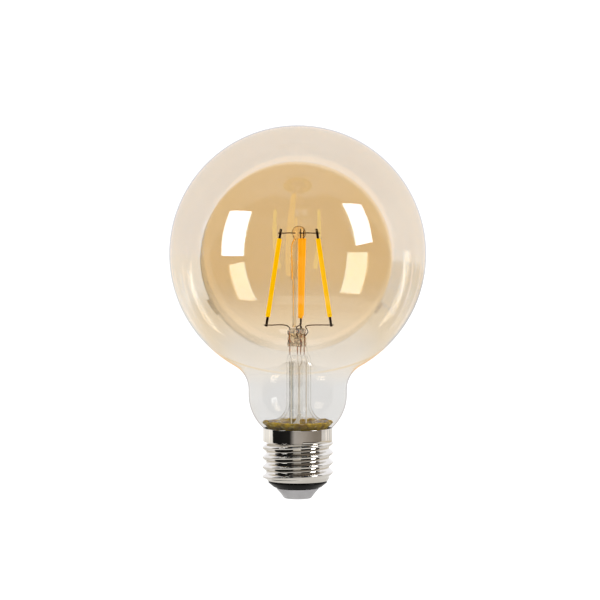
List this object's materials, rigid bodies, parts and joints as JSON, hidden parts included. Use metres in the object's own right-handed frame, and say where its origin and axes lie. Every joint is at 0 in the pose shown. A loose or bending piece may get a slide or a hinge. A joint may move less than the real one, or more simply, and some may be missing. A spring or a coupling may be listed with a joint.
{
  "type": "smart light bulb",
  "caption": "Gold-tinted globe lamp with upright LED filaments on a glass stem, a screw cap, and a radio driver inside the cap.",
  "frame": {"origin": "centre of the end contact's flat face, on the lamp's axis", "axes": "+Z along the lamp's axis from the cap to the top of the globe, -Y towards the front filament"},
  "size_m": [0.095, 0.095, 0.138],
  "materials": {
    "globe_glass": "clear, gold tint on the globe fading to clear in the neck",
    "stem_glass": "clear",
    "yellow_phosphor": "silicone, satin",
    "orange_phosphor": "silicone, satin",
    "strip": "matt",
    "tab": "dark oxidised",
    "nickel_wire": "drawn",
    "dumet": "copper red, satin",
    "copper_wire": "drawn copper",
    "sleeving": "white glass braid",
    "cement": "olive resin, glossy, uneven",
    "nickel_shell": "polished nickel plate",
    "contact_metal": "satin",
    "black_insulator": "glossy black",
    "board_green": "solder mask",
    "board_blue": "solder mask",
    "tin_plate": "tin plated",
    "black_moulding": "moulded",
    "capacitor_sleeve": "shrink sleeve",
    "ferrite": "ferrite, matt",
    "resistor_coat": "lacquer",
    "varistor_coat": "epoxy",
    "red_insulation": "insulated wire",
    "solder": "bright"
  },
  "bodies": {
    "root": {"glass_globe": "globe_glass", "base_cement": "cement", "screw_shell": "nickel_shell", "insulator": "black_insulator", "centre_contact": "contact_metal", "stem": "stem_glass", "exhaust_tube": "stem_glass", "support_rod": "stem_glass", "filament_left_coat": "yellow_phosphor", "filament_left_strip": "strip", "filament_left_upper_tab": "tab", "filament_left_lower_tab": "tab", "upper_wire_left": "nickel_wire", "inner_lead_left": "nickel_wire", "dumet_left": "dumet", "outer_lead_left": "copper_wire", "filament_right_coat": "yellow_phosphor", "filament_right_strip": "strip", "filament_right_upper_tab": "tab", "filament_right_lower_tab": "tab", "upper_wire_right": "nickel_wire", "inner_lead_right": "nickel_wire", "dumet_right": "dumet", "outer_lead_right": "copper_wire", "filament_front_coat": "orange_phosphor", "filament_front_strip": "strip", "filament_front_upper_tab": "tab", "filament_front_lower_tab": "tab", "upper_wire_front": "nickel_wire", "inner_lead_front": "nickel_wire", "dumet_front": "dumet", "outer_lead_front": "copper_wire", "filament_back_coat": "orange_phosphor", "filament_back_strip": "strip", "filament_back_upper_tab": "tab", "filament_back_lower_tab": "tab", "upper_wire_back": "nickel_wire", "inner_lead_back": "nickel_wire", "dumet_back": "dumet", "outer_lead_back": "copper_wire", "sleeve_left": "sleeving", "sleeve_front": "sleeving", "driver_board": "board_green", "radio_board": "board_blue", "radio_shield": "tin_plate", "radio_antenna": "copper_wire", "radio_header": "black_moulding", "driver_chip": "black_moulding", "yellow_channel_transistor": "black_moulding", "orange_channel_transistor": "black_moulding", "bridge_rectifier": "black_moulding", "electrolytic_capacitor": "capacitor_sleeve", "inductor": "ferrite", "varistor": "varistor_coat", "fuse_resistor": "resistor_coat", "contact_wire": "red_insulation", "shell_wire": "copper_wire", "shell_solder": "solder"}
  },
  "joints": []
}
